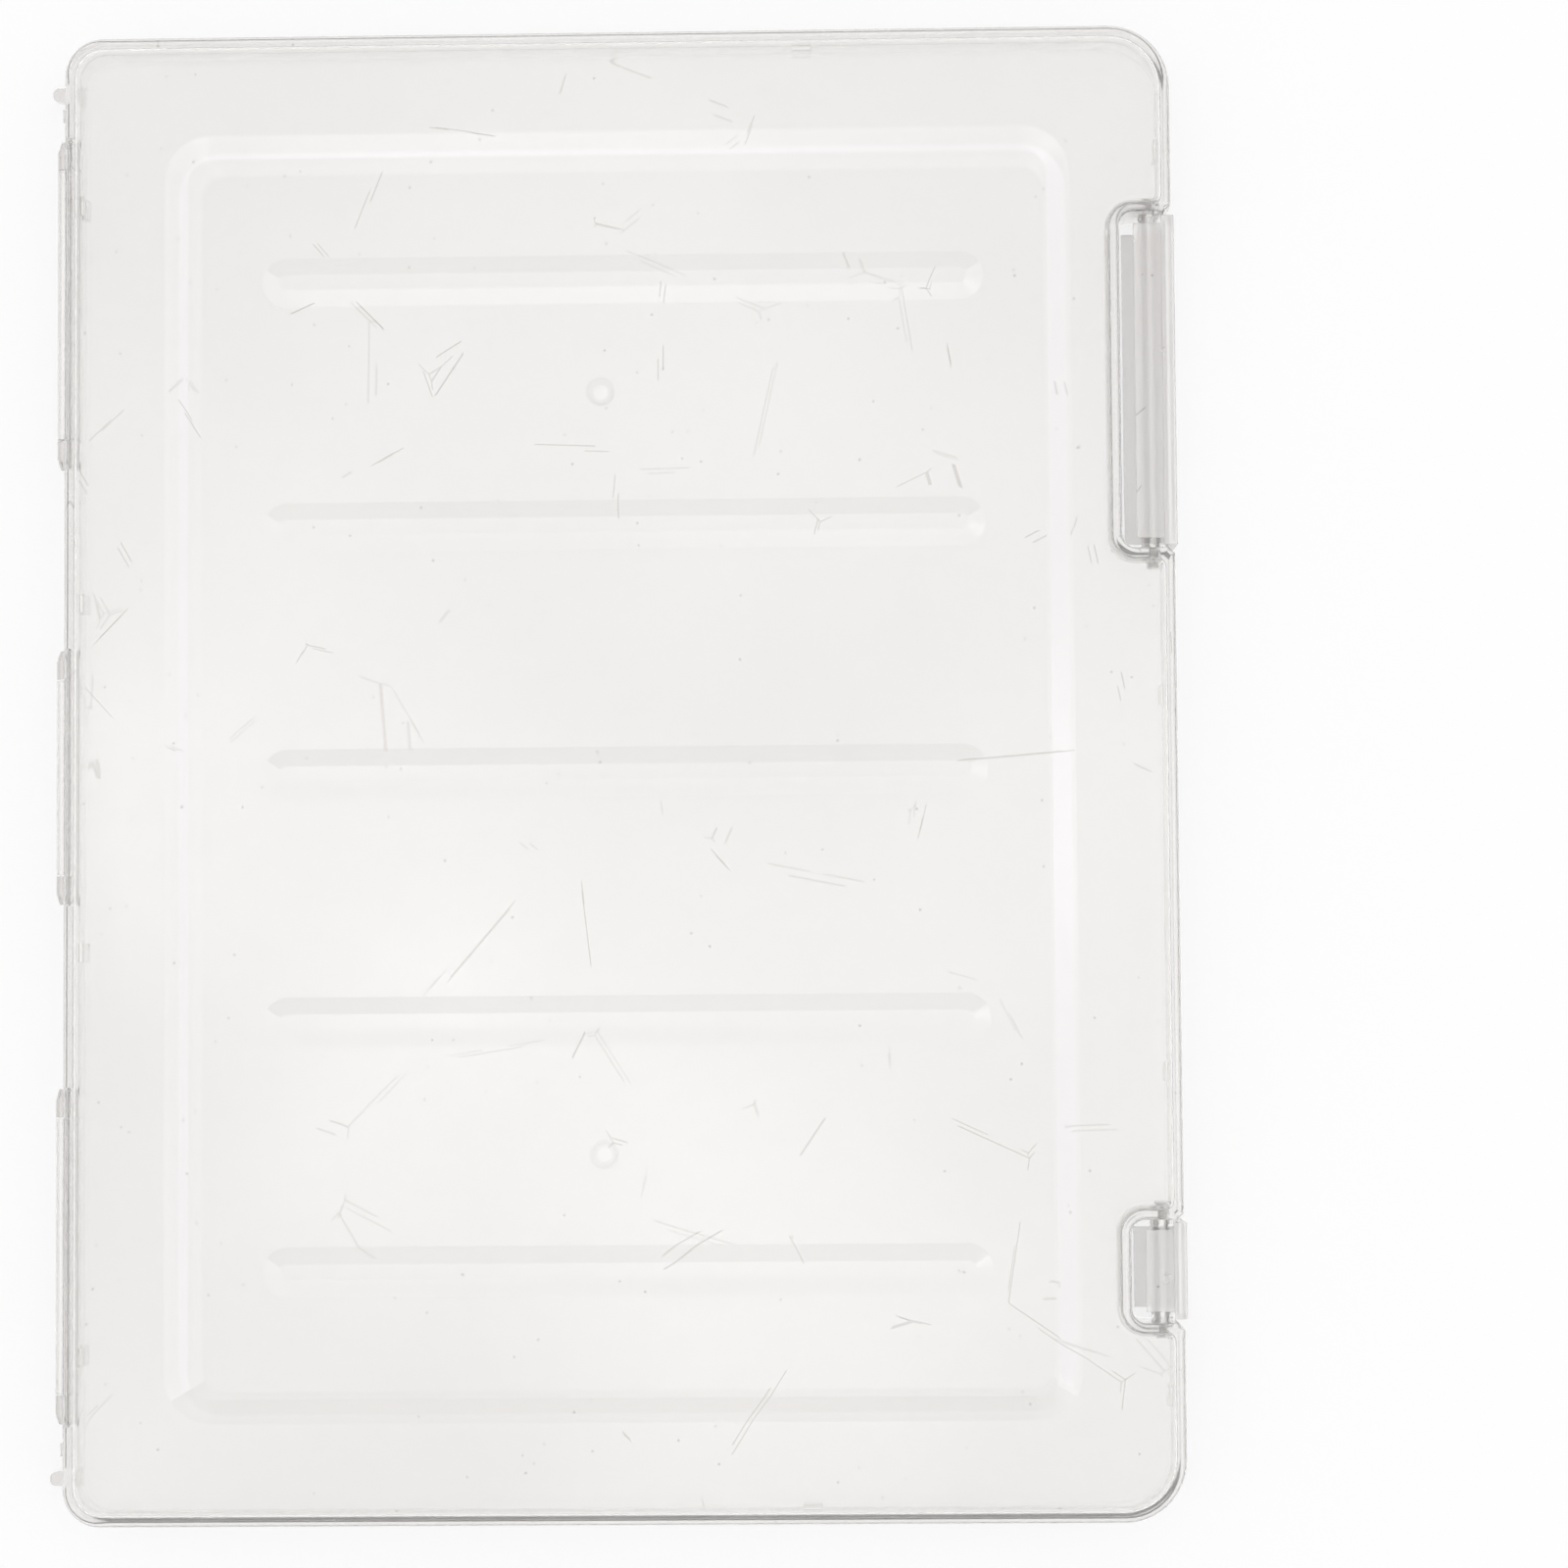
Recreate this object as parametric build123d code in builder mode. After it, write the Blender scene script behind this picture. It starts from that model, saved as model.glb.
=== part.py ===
from build123d import *
from math import hypot, sqrt
import os

# A flat hinged case for loose A4 papers, moulded in clear polypropylene, closed and lying on its base.
# X runs from the hinge side (-X) to the latch side (+X), Y runs along the case and Z points up.
# The origin is in the middle of the face that the case rests on. All sizes are in millimetres.

# Case shell
case_width = 235.0
case_length = 315.0
base_height = 11.5
lid_height = 8.5
wall = 1.8
plate = 1.8
hinge_corner_radius = 8.0
latch_corner_radius = 13.0
edge_radius = 1.4
inner_radius = 1.6
parting_gap = 0.15

# Stepped panel in the lid and in the floor, so that one case nests on another
panel_inset = 21.3
panel_ramp = 5.0
panel_step = 1.0
panel_corner_radius = 10.0

# Stiffening ribs raised on the lid panel, between the spine and latch sides and from end to end
rib_count = 5
rib_spine_inset = 42.2
rib_latch_inset = 39.8
rib_end_inset = 52.9
rib_width = 10.4
rib_rise = 0.7
rib_slope = 3.6

# Gate marks left by the moulding tool
gate_offset_x = -3.5
gate_end_inset = 77.0
gate_outer_radius = 2.9
gate_inner_radius = 1.0
gate_depth = 0.3

# Hinge along the spine
hinge_end_inset = 20.8
end_hinge_length = 70.6
middle_hinge_length = 54.0
axis_outset = 0.5
barrel_radius = 2.5
knuckle_length = 6.0
knuckle_taper = 2.3
knuckle_tip_radius = 1.8
hinge_clearance = 0.3
hinge_pin_radius = 1.0
running_fit = 0.05
pin_recess = 0.5

# Feet that the closed case stands on when it is put on its spine
foot_out = 6.0
foot_end_inset = 6.7
foot_root_width = 4.2
foot_tip_width = 2.6
foot_tip_radius = 1.2
stop_gap = 0.2

# Stop tabs on the spine side of the lid
tab_end_inset = 16.0
tab_width = 2.7
tab_proud = 0.8
tab_margin = 1.5

# Locating tongues that stand up from the base inside the lid
tongue_width = 4.0
tongue_thickness = 1.2
tongue_rise = 2.5
tongue_root = 5.0
tongue_clearance = 0.2
spine_tongue_end_inset = 34.9
spine_tongue_hinge_gap = 10.2
latch_tongue_end_inset = 25.5
latch_tongue_notch_gap = 30.75
end_tongue_side_inset = 78.0

# Notches that the latches sit in
notch_depth = 11.0
notch_corner_radius = 3.0
notch_mouth_chamfer = 1.3
cavity_corner_radius = 2.2
long_notch_length = 71.5
long_notch_end_inset = 39.75
short_notch_length = 21.5
short_notch_end_inset = 41.2

# Latches
latch_proud = 0.7
latch_wall = 1.7
latch_margin = 1.8
latch_end_gap = 0.75
latch_reach = 7.8
lower_reach = 9.6
arm_thickness = 1.5
arm_setback = 1.5
grip_width = 2.7
grip_height = 0.9
latch_edge_radius = 0.6
lip_width = 1.2
lip_clearance = 0.25

# Pivot of each latch, and the bar on the lid that it holds down
pivot_inset = 3.5
pivot_height = 4.5
pivot_barrel_radius = 2.35
latch_pin_radius = 1.2
ear_radius = 2.1
ear_gap = 0.5
ear_backing = 1.5
catch_radius = 1.6
catch_inset = 5.1
catch_clearance = 0.3

# Places worked out from the sizes above
total_height = base_height + lid_height
half_width = case_width / 2
half_length = case_length / 2
rib_length = case_width - rib_spine_inset - rib_latch_inset
rib_x = (rib_spine_inset - rib_latch_inset) / 2
rib_pitch = (case_length - 2 * rib_end_inset) / (rib_count - 1)
gate_offset_y = half_length - gate_end_inset
foot_outer_y = half_length - foot_end_inset
tab_y = half_length - tab_end_inset
axis_x = -half_width - axis_outset
axis_z = base_height
pivot_x = half_width - pivot_inset
catch_x = half_width - catch_inset
latch_outer_x = half_width + latch_proud
latch_inner_x = latch_outer_x - latch_wall
arm_end_x = half_width - latch_reach
lower_end_x = half_width - lower_reach
latch_top = total_height - latch_margin
arm_top = latch_top - grip_height
arm_under = arm_top - arm_thickness
catch_z = arm_under - catch_clearance - catch_radius
ear_length = latch_end_gap + arm_setback - ear_gap
end_hinge_y = half_length - hinge_end_inset - end_hinge_length / 2
hinges = {
    "upper": (end_hinge_y, end_hinge_length),
    "middle": (0.0, middle_hinge_length),
    "lower": (-end_hinge_y, end_hinge_length),
}
long_notch_y = half_length - long_notch_end_inset - long_notch_length / 2
short_notch_y = short_notch_end_inset + short_notch_length / 2 - half_length
latches = {
    "long": (long_notch_y, long_notch_length),
    "short": (short_notch_y, short_notch_length),
}
along_y = (90, 0, 0)


def at_x(x):
    """Choose vertices that lie at one place along X."""
    return lambda vertex: abs(vertex.X - x) < 0.01


# Plan of the case: a rectangle with four rounded corners and a notch for each latch
with BuildSketch() as notched_plan:
    Rectangle(case_width, case_length)
    fillet(notched_plan.vertices().group_by(Axis.X)[0], radius=hinge_corner_radius)
    fillet(notched_plan.vertices().group_by(Axis.X)[-1], radius=latch_corner_radius)
    for notch_y, notch_length in latches.values():
        with Locations((half_width, notch_y)):
            Rectangle(2 * notch_depth, notch_length, mode=Mode.SUBTRACT)
    fillet(notched_plan.vertices().filter_by(at_x(half_width - notch_depth)), radius=notch_corner_radius)


def mouth_corners(plan, inset):
    """Find the corners where the notches meet the latch side, in a plan that is inset from the case."""
    corners = []
    for notch_y, notch_length in latches.values():
        for side in (-1, 1):
            corner_y = notch_y + side * (notch_length / 2 + inset)
            corners.append(plan.vertices().sort_by_distance((half_width - inset, corner_y, 0))[0])
    return corners


with BuildSketch() as case_plan:
    add(notched_plan.sketch)
    chamfer(mouth_corners(case_plan, 0), length=notch_mouth_chamfer)

# Plan of the space inside the walls
with BuildSketch() as cavity_plan:
    add(notched_plan.sketch)
    offset(amount=-wall, mode=Mode.REPLACE)
    fillet(mouth_corners(cavity_plan, wall), radius=cavity_corner_radius)


def stepped_panel(rim_z, panel_z, mode):
    """Fill or cut the stepped panel between its rim and its flat middle."""
    rim_width = case_width - 2 * panel_inset
    rim_length = case_length - 2 * panel_inset
    with BuildSketch(Plane.XY.offset(rim_z)) as rim:
        RectangleRounded(rim_width, rim_length, panel_corner_radius)
    with BuildSketch(Plane.XY.offset(panel_z)) as middle:
        RectangleRounded(
            rim_width - 2 * panel_ramp,
            rim_length - 2 * panel_ramp,
            panel_corner_radius - panel_ramp,
        )
    loft(sections=[rim.sketch, middle.sketch], mode=mode)


def raised_ribs(root_z, mode):
    """Fill or cut the five long ribs with sloping flanks."""
    for index in range(rib_count):
        rib_y = (index - (rib_count - 1) / 2) * rib_pitch
        with BuildSketch(Plane.XY.offset(root_z)) as root:
            with Locations((rib_x, rib_y)):
                SlotOverall(rib_length, rib_width)
        with BuildSketch(Plane.XY.offset(root_z + rib_rise)) as crest:
            with Locations((rib_x, rib_y)):
                SlotOverall(rib_length - 2 * rib_slope, rib_width - 2 * rib_slope)
        loft(sections=[root.sketch, crest.sketch], mode=mode)


def rod(x, y, z, radius, length, mode=Mode.ADD):
    """Fill or cut a round rod that lies along Y."""
    with Locations((x, y, z)):
        Cylinder(radius, length, rotation=along_y, mode=mode)


# Base tray: floor, walls, hinge knuckles, spine feet, locating tongues and the ears of the latch pivots
with BuildPart() as base_tray:
    with BuildSketch(Plane.XY.offset(panel_step)):
        add(case_plan.sketch)
    extrude(amount=base_height - panel_step)
    fillet(base_tray.faces().sort_by(Axis.Z)[0].outer_wire().edges(), radius=edge_radius)
    with BuildSketch(Plane.XY.offset(panel_step + plate)):
        add(cavity_plan.sketch)
    extrude(amount=base_height - panel_step - plate, mode=Mode.SUBTRACT)
    floor_edges = base_tray.faces().filter_by(Plane.XY).sort_by(Axis.Z)[1].outer_wire().edges()
    fillet(floor_edges, radius=inner_radius)
    stepped_panel(panel_step, 0, Mode.ADD)
    stepped_panel(panel_step + plate, plate, Mode.SUBTRACT)

    inside_x = half_width - wall
    inside_y = half_length - wall
    tongue_places = []
    for side in (-1, 1):
        tongue_places += [
            (-inside_x, side * (half_length - spine_tongue_end_inset), 1, 0),
            (-inside_x, side * (middle_hinge_length / 2 + spine_tongue_hinge_gap), 1, 0),
            (inside_x, side * (half_length - latch_tongue_end_inset), -1, 0),
            (half_width - end_tongue_side_inset, side * inside_y, 0, -side),
        ]
    tongue_places += [
        (inside_x, long_notch_y - long_notch_length / 2 - latch_tongue_notch_gap, -1, 0),
        (inside_x, short_notch_y + short_notch_length / 2 + latch_tongue_notch_gap, -1, 0),
    ]
    for x, y, inward_x, inward_y in tongue_places:
        root_reach = tongue_clearance + tongue_thickness
        tongue_reach = tongue_clearance + tongue_thickness / 2
        with Locations((x + inward_x * root_reach / 2, y + inward_y * root_reach / 2, base_height)):
            Box(
                root_reach if inward_x else tongue_width,
                root_reach if inward_y else tongue_width,
                tongue_root,
                align=(Align.CENTER, Align.CENTER, Align.MAX),
            )
        with Locations((x + inward_x * tongue_reach, y + inward_y * tongue_reach, base_height - tongue_root)):
            Box(
                tongue_thickness if inward_x else tongue_width,
                tongue_thickness if inward_y else tongue_width,
                tongue_root + tongue_rise,
                align=(Align.CENTER, Align.CENTER, Align.MIN),
            )

    for hinge_y, hinge_length in hinges.values():
        barrel_space = hinge_length - 2 * knuckle_length
        rod(axis_x, hinge_y, axis_z, barrel_radius + hinge_clearance, barrel_space, Mode.SUBTRACT)
        for side in (-1, 1):
            straight = knuckle_length - knuckle_taper
            rod(axis_x, hinge_y + side * (barrel_space + straight) / 2, axis_z, barrel_radius, straight)
            with Locations((axis_x, hinge_y + side * (hinge_length - knuckle_taper) / 2, axis_z)):
                Cone(barrel_radius, knuckle_tip_radius, knuckle_taper, rotation=(-90 * side, 0, 0))
        rod(axis_x, hinge_y, axis_z, hinge_pin_radius + running_fit, hinge_length, Mode.SUBTRACT)

    foot_top = base_height - lid_height - stop_gap
    for side in (-1, 1):
        with BuildSketch(Plane.XY.offset(panel_step)) as foot:
            with BuildLine():
                Polyline(
                    (-half_width + wall, side * foot_outer_y),
                    (-half_width - foot_out, side * foot_outer_y),
                    (-half_width - foot_out, side * (foot_outer_y - foot_tip_width)),
                    (-half_width, side * (foot_outer_y - foot_root_width)),
                    (-half_width + wall, side * (foot_outer_y - foot_root_width)),
                    close=True,
                )
            make_face()
            fillet(foot.vertices().group_by(Axis.X)[0], radius=foot_tip_radius)
        extrude(amount=foot_top - panel_step)

    for notch_y, notch_length in latches.values():
        ear_total = ear_backing + wall + ear_length
        ear_middle = notch_length / 2 - ear_length + ear_total / 2
        for side in (-1, 1):
            rod(pivot_x, notch_y + side * ear_middle, pivot_height, ear_radius, ear_total)
        bore_length = notch_length + 2 * (wall + ear_backing)
        rod(pivot_x, notch_y, pivot_height, latch_pin_radius + running_fit, bore_length, Mode.SUBTRACT)
base_tray.part.label = "base_tray"

# Lid: top plate with its stepped panel and ribs, skirt, hinge barrels, stop tabs and the two catch bars
with BuildPart() as lid:
    lid_under = base_height + parting_gap
    with BuildSketch(Plane.XY.offset(lid_under)):
        add(case_plan.sketch)
    extrude(amount=total_height - lid_under)
    fillet(lid.faces().sort_by(Axis.Z)[-1].outer_wire().edges(), radius=edge_radius)
    with BuildSketch(Plane.XY.offset(lid_under)):
        add(cavity_plan.sketch)
    extrude(amount=total_height - plate - lid_under, mode=Mode.SUBTRACT)
    ceiling_edges = lid.faces().filter_by(Plane.XY).sort_by(Axis.Z)[-2].outer_wire().edges()
    fillet(ceiling_edges, radius=inner_radius)
    stepped_panel(total_height, total_height - panel_step, Mode.SUBTRACT)
    stepped_panel(total_height - plate, total_height - plate - panel_step, Mode.ADD)
    raised_ribs(total_height - panel_step, Mode.ADD)
    raised_ribs(total_height - panel_step - plate, Mode.SUBTRACT)

    with BuildSketch(Plane.XY.offset(total_height - panel_step)):
        with Locations((gate_offset_x, gate_offset_y), (gate_offset_x, -gate_offset_y)):
            Circle(gate_outer_radius)
            Circle(gate_inner_radius, mode=Mode.SUBTRACT)
    extrude(amount=-gate_depth, mode=Mode.SUBTRACT)

    for hinge_y, hinge_length in hinges.values():
        barrel_length = hinge_length - 2 * (knuckle_length + hinge_clearance)
        for side in (-1, 1):
            knuckle_y = hinge_y + side * (hinge_length - knuckle_length) / 2
            relief_length = knuckle_length + 2 * hinge_clearance
            rod(axis_x, knuckle_y, axis_z, barrel_radius + hinge_clearance, relief_length, Mode.SUBTRACT)
        rod(axis_x, hinge_y, axis_z, barrel_radius, barrel_length)
        rod(axis_x, hinge_y, axis_z, hinge_pin_radius + running_fit, barrel_length, Mode.SUBTRACT)

    for side in (-1, 1):
        with Locations((-half_width - tab_proud, side * tab_y, lid_under + tab_margin)):
            Box(
                tab_proud + wall / 2,
                tab_width,
                total_height - lid_under - 2 * tab_margin - edge_radius,
                align=(Align.MIN, Align.CENTER, Align.MIN),
            )

    for notch_y, notch_length in latches.values():
        rod(catch_x, notch_y, catch_z, catch_radius, notch_length + wall)
lid.part.label = "lid"

# Latches: a channel section that turns on a pin in the base and closes over the catch bar of the lid
latch_parts = {}
for name, (notch_y, notch_length) in latches.items():
    latch_length = notch_length - 2 * latch_end_gap
    arm_length = latch_length - 2 * arm_setback
    catch_sweep = hypot(pivot_x - catch_x, catch_z - pivot_height) + catch_radius
    lip_edge_x = arm_end_x + lip_width
    lip_under = pivot_height + sqrt((catch_sweep + lip_clearance) ** 2 - (pivot_x - lip_edge_x) ** 2)
    with BuildPart() as latch:
        with BuildSketch(Plane.XZ.offset(-notch_y)) as outer_section:
            with BuildLine():
                Polyline(
                    (latch_outer_x, latch_margin),
                    (latch_outer_x, latch_top),
                    (latch_outer_x - grip_width, latch_top),
                    (latch_outer_x - grip_width, arm_top),
                    (latch_inner_x, arm_top),
                    (latch_inner_x, latch_margin),
                    close=True,
                )
            make_face()
            fillet(outer_section.vertices().group_by(Axis.X)[-1], radius=latch_edge_radius)
        extrude(amount=latch_length / 2, both=True)
        with BuildSketch(Plane.XZ.offset(-notch_y)):
            with BuildLine():
                Polyline(
                    (latch_inner_x, arm_top),
                    (arm_end_x, arm_top),
                    (arm_end_x, lip_under),
                    (lip_edge_x, lip_under),
                    (lip_edge_x, arm_under),
                    (latch_inner_x, arm_under),
                    close=True,
                )
            make_face()
            with Locations((lower_end_x, latch_margin + grip_height)):
                Rectangle(latch_inner_x - lower_end_x, arm_thickness, align=(Align.MIN, Align.MIN))
            with Locations((pivot_x, pivot_height)):
                Circle(pivot_barrel_radius)
                Circle(latch_pin_radius + running_fit, mode=Mode.SUBTRACT)
        extrude(amount=arm_length / 2, both=True)
    latch.part.label = name + "_latch"
    latch_parts[name] = latch

# Pins: one through each hinge and one through each latch pivot
pins = {}
for name, (hinge_y, hinge_length) in hinges.items():
    with BuildPart() as pin:
        rod(axis_x, hinge_y, axis_z, hinge_pin_radius, hinge_length - 2 * pin_recess)
    pin.part.label = "hinge_pin_" + name
    pins["hinge_pin_" + name] = pin
for name, (notch_y, notch_length) in latches.items():
    with BuildPart() as pin:
        pin_length = notch_length + 2 * (wall + ear_backing) - 2 * pin_recess
        rod(pivot_x, notch_y, pivot_height, latch_pin_radius, pin_length)
    pin.part.label = name + "_latch_pin"
    pins[name + "_latch_pin"] = pin

os.makedirs("parts", exist_ok=True)
export_step(base_tray.part, "parts/base_tray.step")
export_step(lid.part, "parts/lid.step")
for name, latch in latch_parts.items():
    export_step(latch.part, "parts/" + name + "_latch.step")
for name, pin in pins.items():
    export_step(pin.part, "parts/" + name + ".step")
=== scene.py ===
import math

import bpy
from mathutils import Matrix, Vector


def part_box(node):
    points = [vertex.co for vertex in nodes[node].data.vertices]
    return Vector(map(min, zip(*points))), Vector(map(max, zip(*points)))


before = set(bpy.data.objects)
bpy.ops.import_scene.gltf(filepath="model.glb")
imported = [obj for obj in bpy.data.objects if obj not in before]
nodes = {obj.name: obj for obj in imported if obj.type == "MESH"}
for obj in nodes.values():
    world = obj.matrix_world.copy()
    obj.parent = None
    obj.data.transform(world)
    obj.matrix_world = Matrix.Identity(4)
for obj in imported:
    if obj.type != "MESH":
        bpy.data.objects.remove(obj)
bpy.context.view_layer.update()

MM = 0.001

# Camera above the closed case, a little towards its latch side and its near end, looking almost straight
# down. Its place and turn make the four corners of the lid fall where the photograph has them.
camera_place = (53.6 * MM, -46.3 * MM, 830.8 * MM)
camera_turn = (math.radians(3.04), math.radians(1.354), math.radians(-0.446))
camera = bpy.data.objects.new("camera", bpy.data.cameras.new("camera"))
bpy.context.scene.collection.objects.link(camera)
camera.location = camera_place
camera.rotation_euler = camera_turn
camera.data.sensor_width = 36.0
camera.data.lens = 88.74
bpy.context.scene.camera = camera


# Base tray: the lower shell, injection moulded in natural polypropylene in one piece with its hinge
# knuckles, spine feet and latch ears. The polymer has no pigment, so thin walls look clear with a faint
# milky haze, and a thick place, or a wall seen along its height, looks greyer and warmer.
def linear(hex_colour, alpha=1.0):
    """Turn an sRGB hex colour into linear RGBA."""
    channels = [int(hex_colour[i:i + 2], 16) / 255 for i in (1, 3, 5)]
    return tuple(c / 12.92 if c <= 0.04045 else ((c + 0.055) / 1.055) ** 2.4 for c in channels) + (alpha,)


def add_node(tree, kind, settings=None, values=None, links=None):
    """Add one node with its settings, its input values and the outputs that feed its inputs."""
    node = tree.nodes.new(kind)
    for name, value in (settings or {}).items():
        setattr(node, name, value)
    for socket, value in (values or {}).items():
        node.inputs[socket].default_value = value
    for socket, output in (links or {}).items():
        tree.links.new(output, node.inputs[socket])
    return node


def melt_haze(tree, place, clear, hazed):
    """Milky clouds in the melt, about 90 mm across. Gives the cloud pattern and the colour it makes."""
    cloud_size = 90 * MM
    hazy_below = 0.36
    clear_above = 0.62
    clouds = add_node(tree, "ShaderNodeTexNoise",
                      values={"Scale": 1 / cloud_size, "Detail": 2.0, "Roughness": 0.45},
                      links={"Vector": place})
    colour = add_node(tree, "ShaderNodeValToRGB", links={"Fac": clouds.outputs["Fac"]})
    low, high = colour.color_ramp.elements
    low.position = hazy_below
    low.color = linear(hazed)
    high.position = clear_above
    high.color = linear(clear)
    return clouds.outputs["Fac"], colour.outputs["Color"]


def slope_masks(tree, normal):
    """Slopes of the stepped panel and of the ribs, which lean by about 11 degrees. Gives those that face
    the near end and the sides, which are painted whiter as a painted highlight, and those that face the
    far end, which are painted greyer as painted shade."""
    slope_upright = 0.98  # upward part of a slope's unit normal, and how far it may be off
    slope_band = 0.012
    far_from = 0.1  # part towards the far end from which a slope counts as facing it
    facing = add_node(tree, "ShaderNodeSeparateXYZ", links={0: normal})
    upright = add_node(tree, "ShaderNodeMath", {"operation": "ABSOLUTE"}, links={0: facing.outputs["Z"]})
    leaning = add_node(tree, "ShaderNodeMath", {"operation": "COMPARE"}, {1: slope_upright, 2: slope_band},
                       {0: upright.outputs[0]})
    not_far = add_node(tree, "ShaderNodeMath", {"operation": "LESS_THAN"}, {1: far_from},
                       {0: facing.outputs["Y"]})
    near = add_node(tree, "ShaderNodeMath", {"operation": "MULTIPLY"},
                    links={0: leaning.outputs[0], 1: not_far.outputs[0]})
    far = add_node(tree, "ShaderNodeMath", {"operation": "SUBTRACT"},
                   links={0: leaning.outputs[0], 1: near.outputs[0]})
    return near.outputs[0], far.outputs[0]


def gate_mark(tree, place, gate, painted_highlight_and_gate_discs, greyed):
    """Stress-whitened disc, 5.8 mm across, where the melt entered, with a greyer rim. Adds it to the mask
    of what is whiter and to the mask of what is greyer."""
    disc_radius = 2.9 * MM
    rim_radius = 2.7 * MM
    rim_half_width = 0.35 * MM
    rim_share = 0.35
    off = add_node(tree, "ShaderNodeVectorMath", {"operation": "DISTANCE"}, {1: gate}, {0: place})
    disc = add_node(tree, "ShaderNodeMath", {"operation": "LESS_THAN"}, {1: disc_radius},
                    {0: off.outputs["Value"]})
    ring = add_node(tree, "ShaderNodeMath", {"operation": "COMPARE"}, {1: rim_radius, 2: rim_half_width},
                    {0: off.outputs["Value"]})
    rim = add_node(tree, "ShaderNodeMath", {"operation": "MULTIPLY"}, {1: rim_share}, {0: ring.outputs[0]})
    whiter = add_node(tree, "ShaderNodeMath", {"operation": "MAXIMUM"},
                      links={0: painted_highlight_and_gate_discs, 1: disc.outputs[0]})
    greyer = add_node(tree, "ShaderNodeMath", {"operation": "MAXIMUM"},
                      links={0: greyed, 1: rim.outputs[0]})
    return whiter.outputs[0], greyer.outputs[0]


def thick_spine(tree, place, share, greyed):
    """Knuckles and spine feet, which stand out past the spine wall and are thicker than it, so greyer. Adds
    them to the mask of what is greyer."""
    spine_wall_x = -117.8 * MM
    position = add_node(tree, "ShaderNodeSeparateXYZ", links={0: place})
    beyond = add_node(tree, "ShaderNodeMath", {"operation": "LESS_THAN"}, {1: spine_wall_x},
                      {0: position.outputs["X"]})
    thick = add_node(tree, "ShaderNodeMath", {"operation": "MULTIPLY"}, {1: share}, {0: beyond.outputs[0]})
    greyer = add_node(tree, "ShaderNodeMath", {"operation": "MAXIMUM"},
                      links={0: greyed, 1: thick.outputs[0]})
    return greyer.outputs[0]


def wear(tree, place, clouds):
    """Hairline scratches along the edges of 38 mm cells, where the haze is in a narrow band, and specks up
    to 0.6 mm across, at most one in each 8 mm cell. The scratches are 0.2 mm wide, so that they show."""
    scratch_cell = 38 * MM
    scratch_reach = 0.003  # half the width, in cells
    scratched_haze = 0.55
    haze_band = 0.012
    speck_cell = 8 * MM
    speck_reach = 0.04  # radius, in cells
    cells = add_node(tree, "ShaderNodeTexVoronoi", {"feature": "DISTANCE_TO_EDGE"},
                     {"Scale": 1 / scratch_cell}, {"Vector": place})
    line = add_node(tree, "ShaderNodeMath", {"operation": "LESS_THAN"}, {1: scratch_reach},
                    {0: cells.outputs["Distance"]})
    here = add_node(tree, "ShaderNodeMath", {"operation": "COMPARE"}, {1: scratched_haze, 2: haze_band},
                    {0: clouds})
    scratch = add_node(tree, "ShaderNodeMath", {"operation": "MULTIPLY"},
                       links={0: line.outputs[0], 1: here.outputs[0]})
    grains = add_node(tree, "ShaderNodeTexVoronoi", values={"Scale": 1 / speck_cell},
                      links={"Vector": place})
    speck = add_node(tree, "ShaderNodeMath", {"operation": "LESS_THAN"}, {1: speck_reach},
                     {0: grains.outputs["Distance"]})
    marks = add_node(tree, "ShaderNodeMath", {"operation": "MAXIMUM"},
                     links={0: scratch.outputs[0], 1: speck.outputs[0]})
    return marks.outputs[0]


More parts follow.
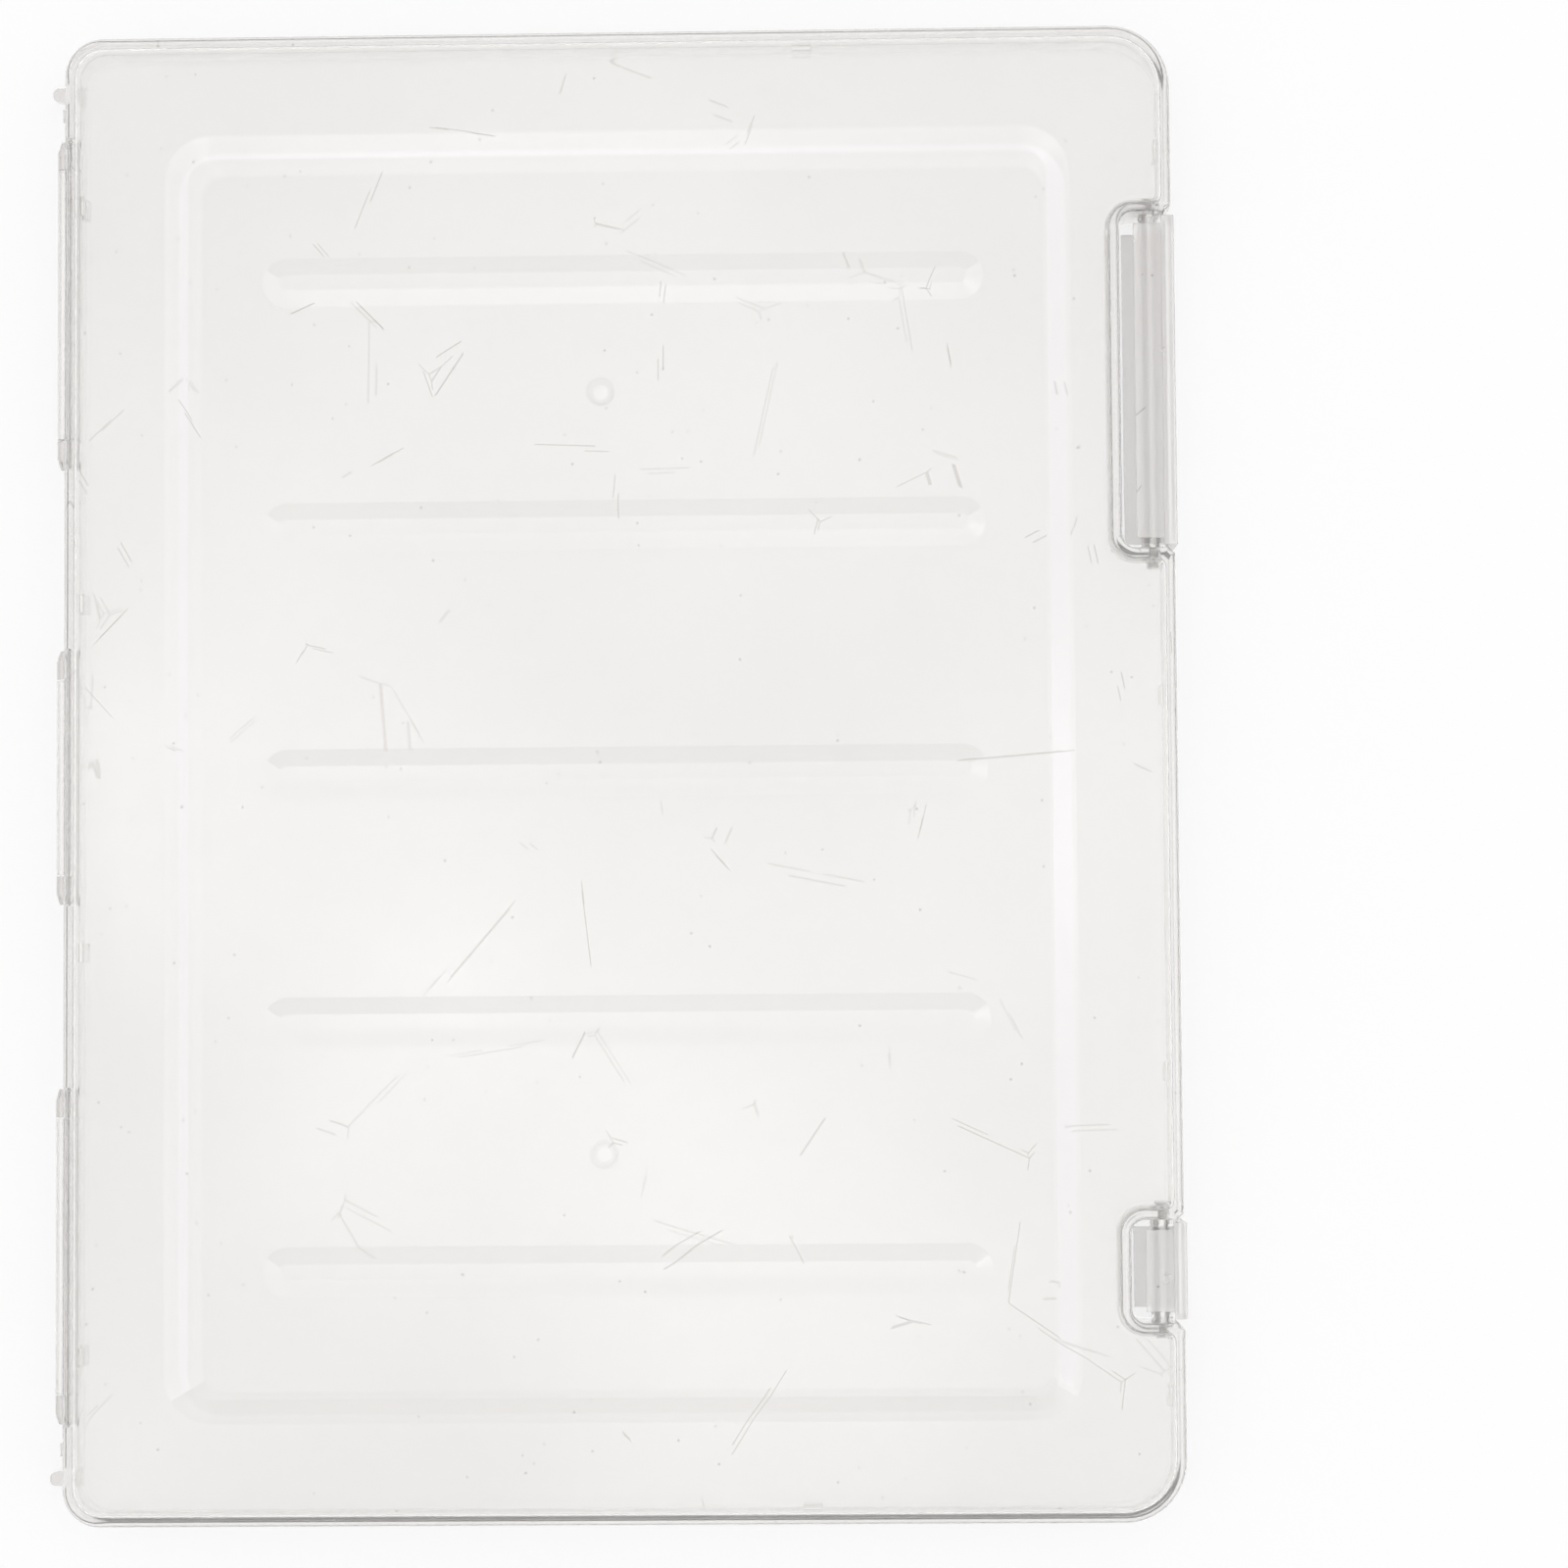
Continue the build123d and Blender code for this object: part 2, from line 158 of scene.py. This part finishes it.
def moulded_polypropylene(name, clear, hazed, clarity, gloss_low, gloss_high, gates=(), spine=0.0):
    """Unpigmented polypropylene off a polished mould: haze that drifts over centimetres, a painted highlight
    on the slopes that face the near end and the sides and painted shade on those that face the far end,
    hairline scratches and stray specks, and a skin that is never quite even. The real IOR is 1.49, which
    turns thin walls black where light is reflected inside them, so it is lower."""
    ior = 1.34
    # Share of the scratch grey put on slopes that face the far end, as painted shade
    far_slope_shade_share = 0.12
    ripple_length = 5 * MM
    ripple_height = 0.05 * MM
    material = bpy.data.materials.new(name)
    material.use_nodes = True
    tree = material.node_tree
    tree.nodes.clear()
    coordinates = add_node(tree, "ShaderNodeTexCoord")
    place = coordinates.outputs["Object"]

    # Where the plastic is whiter, and where it is greyer: painted highlight and painted shade on the slopes,
    # gate marks, thick spine parts, scratches and specks
    clouds, colour = melt_haze(tree, place, clear, hazed)
    # Slopes facing the near end and the sides get a painted highlight; slopes facing the far end get painted
    # shade
    painted_highlight_and_gate_discs, far_slope_painted_shade = slope_masks(tree, coordinates.outputs["Normal"])
    # Painted shade: slopes that face the far end are greyed a little
    greyed = add_node(tree, "ShaderNodeMath", {"operation": "MULTIPLY"}, {1: far_slope_shade_share},
                      {0: far_slope_painted_shade}).outputs[0]
    for gate in gates:
        painted_highlight_and_gate_discs, greyed = gate_mark(tree, place, gate, painted_highlight_and_gate_discs, greyed)
    if spine:
        greyed = thick_spine(tree, place, spine, greyed)
    greyer = add_node(tree, "ShaderNodeMath", {"operation": "MAXIMUM"},
                      links={0: wear(tree, place, clouds), 1: greyed})
    # Painted highlight: the near-facing and side slopes are mixed towards white, together with the whiter
    # gate discs
    painted_highlight_and_gate_mix = add_node(tree, "ShaderNodeMix", {"data_type": "RGBA"}, {7: linear("#FFFEFE")},
                     {0: painted_highlight_and_gate_discs, 6: colour})
    # Mixes towards grey the scratches and specks, the painted shade on far-facing slopes, the gate rims and
    # the thick spine parts
    wear_and_painted_shade = add_node(tree, "ShaderNodeMix", {"data_type": "RGBA"}, {7: linear("#DAD6D4")},
                    {0: greyer.outputs[0], 6: painted_highlight_and_gate_mix.outputs[2]})

    # Skin: a ripple 5 mm long and a few hundredths of a millimetre high, which also varies the gloss
    skin = add_node(tree, "ShaderNodeTexNoise", values={"Scale": 1 / ripple_length, "Detail": 1.0},
                    links={"Vector": place})
    gloss = add_node(tree, "ShaderNodeMapRange", values={"To Min": gloss_low, "To Max": gloss_high},
                     links={"Value": skin.outputs["Fac"]})
    bump = add_node(tree, "ShaderNodeBump", values={"Strength": 0.1, "Distance": ripple_height},
                    links={"Height": skin.outputs["Fac"]})
    shader = add_node(
        tree, "ShaderNodeBsdfPrincipled",
        values={"IOR": ior, "Transmission Weight": clarity, "Specular IOR Level": 0.5},
        links={"Base Color": wear_and_painted_shade.outputs[2], "Roughness": gloss.outputs[0], "Normal": bump.outputs[0]},
    )
    add_node(tree, "ShaderNodeOutputMaterial", links={"Surface": shader.outputs[0]})
    return material


def dress(name, material):
    """Give a CAD node its material."""
    mesh = nodes[name].data
    mesh.materials.clear()
    mesh.materials.append(material)


base_plastic = moulded_polypropylene(
    "moulded_polypropylene_base", clear="#FDFCFB", hazed="#FBFAF9", clarity=0.9,
    gloss_low=0.08, gloss_high=0.16, spine=0.6,
)
dress("base_tray", base_plastic)

# Lid: the upper shell, moulded in the same polypropylene through two gates in its stepped panel, and hung
# on the three hinge pins. The gates are on one line along the case, each as far from its own end.
panel_drop = 1 * MM
gate_x = -3.5 * MM
gate_end_inset = 77 * MM
lid_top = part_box("lid")[1]
gate_y = lid_top[1] - gate_end_inset
gate_z = lid_top[2] - panel_drop
lid_plastic = moulded_polypropylene(
    "moulded_polypropylene_lid", clear="#FDFCFB", hazed="#FBFAF9", clarity=0.9,
    gloss_low=0.08, gloss_high=0.16, gates=[(gate_x, gate_y, gate_z), (gate_x, -gate_y, gate_z)],
)
dress("lid", lid_plastic)

# Latches: two lengths of one channel section, moulded in the same polymer. Its two arms lie over each other,
# so a latch looks greyer than the shells and hides more of what is under it. Each turns on its own pin.
latch_plastic = moulded_polypropylene(
    "moulded_polypropylene_latch", clear="#FFFEFD", hazed="#FDFBFA", clarity=0.66,
    gloss_low=0.2, gloss_high=0.3,
)
for latch in ("long_latch", "short_latch"):
    dress(latch, latch_plastic)

# Pins: drawn polypropylene rod, denser and duller than the mouldings, pushed in along the spine for the lid
# and through the ears of the base for the latches.
pin_plastic = moulded_polypropylene(
    "drawn_polypropylene_rod", clear="#FAF8F7", hazed="#F6F4F3", clarity=0.5,
    gloss_low=0.3, gloss_high=0.4,
)
for pin in ("hinge_pin_upper", "hinge_pin_middle", "hinge_pin_lower", "long_latch_pin", "short_latch_pin"):
    dress(pin, pin_plastic)

# Floor: a white sweep of paper, just under the case. The camera sees it mostly white, so that it still
# takes a shadow, and reflections and the clear plastic see it wholly white.
floor_size = 6.0
floor_gap = 0.1 * MM
camera_white = 0.8
half = floor_size / 2
floor_mesh = bpy.data.meshes.new("floor")
floor_corners = [(-half, -half, 0), (half, -half, 0), (half, half, 0), (-half, half, 0)]
floor_mesh.from_pydata(floor_corners, [], [(0, 1, 2, 3)])
floor = bpy.data.objects.new("floor", floor_mesh)
bpy.context.scene.collection.objects.link(floor)
floor.location.z = -floor_gap
paper = bpy.data.materials.new("white_paper_sweep")
paper.use_nodes = True
tree = paper.node_tree
tree.nodes.clear()
rays = add_node(tree, "ShaderNodeLightPath")
matt = add_node(tree, "ShaderNodeBsdfDiffuse", values={"Color": linear("#F4F4F4")})
white = add_node(tree, "ShaderNodeEmission", values={"Color": linear("#FFFFFF"), "Strength": 1.0})
seen = add_node(tree, "ShaderNodeMixShader", values={0: camera_white},
                links={1: matt.outputs[0], 2: white.outputs[0]})
through = add_node(tree, "ShaderNodeMath", {"operation": "MAXIMUM"},
                   links={0: rays.outputs["Is Glossy Ray"], 1: rays.outputs["Is Transmission Ray"]})
direct = add_node(tree, "ShaderNodeMixShader",
                  links={0: rays.outputs["Is Camera Ray"], 1: matt.outputs[0], 2: seen.outputs[0]})
whole = add_node(tree, "ShaderNodeMixShader",
                 links={0: through.outputs[0], 1: direct.outputs[0], 2: white.outputs[0]})
add_node(tree, "ShaderNodeOutputMaterial", links={"Surface": whole.outputs[0]})
floor_mesh.materials.append(paper)

# Room: a pale studio that lights the case from all round, weaker from the near side, and is white where the
# camera looks straight at it.
near_light = 0.82
far_light = 1.02
world = bpy.data.worlds.new("room")
bpy.context.scene.world = world
world.use_nodes = True
tree = world.node_tree
tree.nodes.clear()
rays = add_node(tree, "ShaderNodeLightPath")
direction = add_node(tree, "ShaderNodeTexCoord")
towards = add_node(tree, "ShaderNodeSeparateXYZ", links={0: direction.outputs["Generated"]})
fall = add_node(tree, "ShaderNodeMapRange",
                values={"From Min": -1.0, "From Max": 0.0, "To Min": near_light, "To Max": far_light},
                links={"Value": towards.outputs["Y"]})
strength = add_node(tree, "ShaderNodeMix", values={3: 1.0},
                    links={0: rays.outputs["Is Camera Ray"], 2: fall.outputs[0]})
sky = add_node(tree, "ShaderNodeBackground", values={"Color": linear("#FFFFFF")},
               links={"Strength": strength.outputs[0]})
add_node(tree, "ShaderNodeOutputWorld", links={"Surface": sky.outputs[0]})


# Soft boxes: one overhead, whose reflection lies in the middle of the panel, one nearer by for the ribs,
# and one on each side, all at one height. They are weak, so that the room does most of the lighting.
def soft_box(name, x, y, width, length, power):
    """Add one area lamp that looks at the middle of the case. Sizes are in metres, and power in watts."""
    lamp_height = 1.3
    place = Vector((x, y, lamp_height))
    lamp = bpy.data.lights.new(name, "AREA")
    lamp.shape = "RECTANGLE"
    lamp.size = width
    lamp.size_y = length
    lamp.energy = power
    holder = bpy.data.objects.new(name, lamp)
    bpy.context.scene.collection.objects.link(holder)
    holder.location = place
    holder.rotation_euler = (-place).to_track_quat("-Z", "Y").to_euler()


soft_box("overhead_soft_box", x=-0.085, y=0.07, width=0.5, length=0.5, power=0.4)
soft_box("near_soft_box", x=-0.08, y=-0.17, width=0.42, length=0.2, power=0.25)
soft_box("spine_soft_box", x=-0.38, y=0.05, width=0.16, length=0.5, power=0.22)
soft_box("latch_soft_box", x=0.6, y=0.0, width=0.3, length=0.5, power=0.8)

bpy.context.scene.view_settings.view_transform = "Standard"
